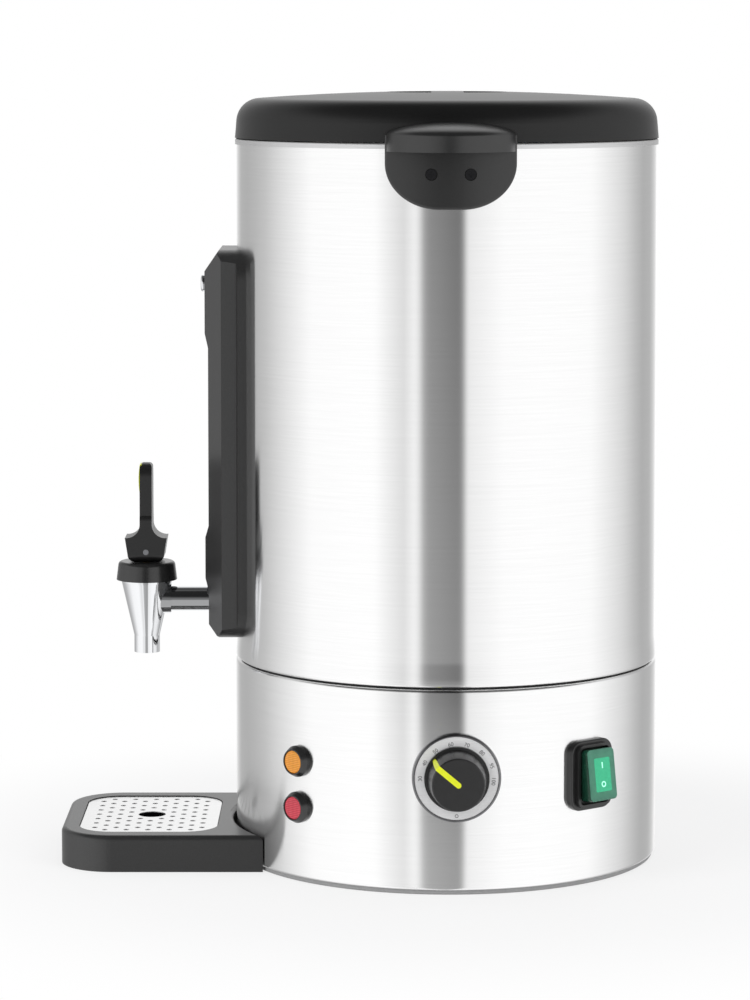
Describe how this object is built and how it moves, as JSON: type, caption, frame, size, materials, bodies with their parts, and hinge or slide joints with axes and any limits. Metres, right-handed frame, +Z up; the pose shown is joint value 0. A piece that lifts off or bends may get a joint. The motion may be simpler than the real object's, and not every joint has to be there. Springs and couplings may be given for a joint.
{
  "type": "water boiler",
  "caption": "Double-walled water boiler with a lift-off lid, handles, level gauge, lever tap, drip tray, thermostat dial and rocker switch.",
  "frame": {"origin": "on the drum's axis, in the plane of the foot ring's underside, where the boiler stands on the worktop", "axes": "+Z up along the drum's axis; the dial and switch face -Y; the tap, level gauge and drip tray face -X"},
  "size_m": [0.4295, 0.381, 0.5528],
  "materials": {
    "brushed_steel": "fine brushed lines round the drum",
    "inner_steel": "satin drawn steel",
    "steel_fasteners": "plain zinc plated",
    "chrome": "polished",
    "black_plastic": "satin",
    "knob_plastic": "semi gloss",
    "lime_plastic": "gloss",
    "dial_silver": "satin anodised with printed numbers",
    "dark_trim": "dark chrome",
    "green_boot": "translucent elastomer",
    "green_lit": "lit translucent",
    "amber_lens": "moulded faceted lens",
    "red_lens": "moulded faceted lens",
    "clear_glass": "clear",
    "scale_strip": "satin white",
    "seal_rubber": "matt",
    "silicone": "matt translucent",
    "aluminium_plate": "milled",
    "brass_parts": "turned",
    "inner_plastic": "satin"
  },
  "bodies": {
    "boiler": {"base_shell": "brushed_steel", "foot_ring": "black_plastic", "base_plate": "inner_steel", "seam_gasket": "seal_rubber", "seam_screws": "steel_fasteners", "outer_drum": "brushed_steel", "inner_tank": "inner_steel", "heat_plate": "aluminium_plate", "heating_element": "inner_steel", "tie_rods": "steel_fasteners", "tie_rod_nuts": "steel_fasteners", "boil_dry_cutout": "inner_plastic", "thermostat_body": "inner_plastic", "thermostat_bulb": "brass_parts", "terminal_block": "inner_plastic", "cable_gland": "black_plastic", "gland_nut": "black_plastic", "front_handle": "black_plastic", "back_handle": "black_plastic", "handle_screws": "steel_fasteners", "handle_nut_plates": "steel_fasteners", "gauge_frame": "black_plastic", "gauge_cover": "black_plastic", "sight_tube": "clear_glass", "gauge_scale": "scale_strip", "gauge_tee": "brass_parts", "gauge_cap": "silicone", "gauge_bolt": "chrome", "tap_shank": "chrome", "tap_nut": "brass_parts", "tap_seals": "silicone", "tap_body": "chrome", "tap_bonnet": "black_plastic", "lamp_bezels": "black_plastic", "red_lens": "red_lens", "amber_lens": "amber_lens", "lamp_bodies": "inner_plastic", "dial_ring": "dark_trim", "dial_plate": "dial_silver", "switch_bezel": "black_plastic", "switch_body": "inner_plastic"},
    "lid": {"lid_shell": "black_plastic", "lid_grip": "black_plastic", "lid_inner_plate": "inner_steel", "lid_seal": "silicone", "lid_screws": "steel_fasteners"},
    "knob_body": {"knob": "knob_plastic", "knob_pointer": "lime_plastic", "knob_spindle": "brass_parts"},
    "rocker": {"switch_rocker": "green_lit", "switch_boot": "green_boot"},
    "valve": {"tap_stem": "brass_parts", "tap_valve_cup": "silicone", "tap_spring": "steel_fasteners"},
    "lever": {"tap_lever": "black_plastic", "tap_lever_insert": "lime_plastic", "tap_pin": "steel_fasteners"},
    "tray": {"drip_tray": "black_plastic"},
    "plate": {"drip_plate": "brushed_steel"}
  },
  "joints": [
    {"name": "lid_lift", "type": "slide", "parent": "boiler", "child": "lid", "axis": [0, 0, 1], "range_m": [0, 0.25]},
    {"name": "knob_turn", "type": "hinge", "parent": "boiler", "child": "knob_body", "pos_m": [0.00452, -0.15243, 0.0825], "axis": [0.0297, -0.9996, 0], "range_deg": [-169, 131]},
    {"name": "rocker_tilt", "type": "hinge", "parent": "boiler", "child": "rocker", "pos_m": [0.09869, -0.11887, 0.0783], "axis": [0.7694, 0.6388, 0], "range_deg": [0, 15]},
    {"name": "tap_lift", "type": "slide", "parent": "boiler", "child": "valve", "axis": [0, 0, 1], "range_m": [0, 0.0049], "deforming": ["tap_spring"]},
    {"name": "tap_pull", "type": "hinge", "parent": "valve", "child": "lever", "pos_m": [-0.2175, 0, 0.2198], "axis": [0, -1, 0], "range_deg": [0, 40], "stiffness_Nm_per_rad": 0.2, "springref_deg": -17.19},
    {"name": "tray_slide", "type": "slide", "parent": "boiler", "child": "tray", "axis": [-1, 0, 0], "range_m": [0, 0.12]},
    {"name": "plate_lift", "type": "slide", "parent": "tray", "child": "plate", "axis": [0, 0, 1], "range_m": [0, 0.05]}
  ],
  "couplings": [
    {"joint": "tap_lift", "follows": "tap_pull", "m_per_rad": 0.007}
  ]
}
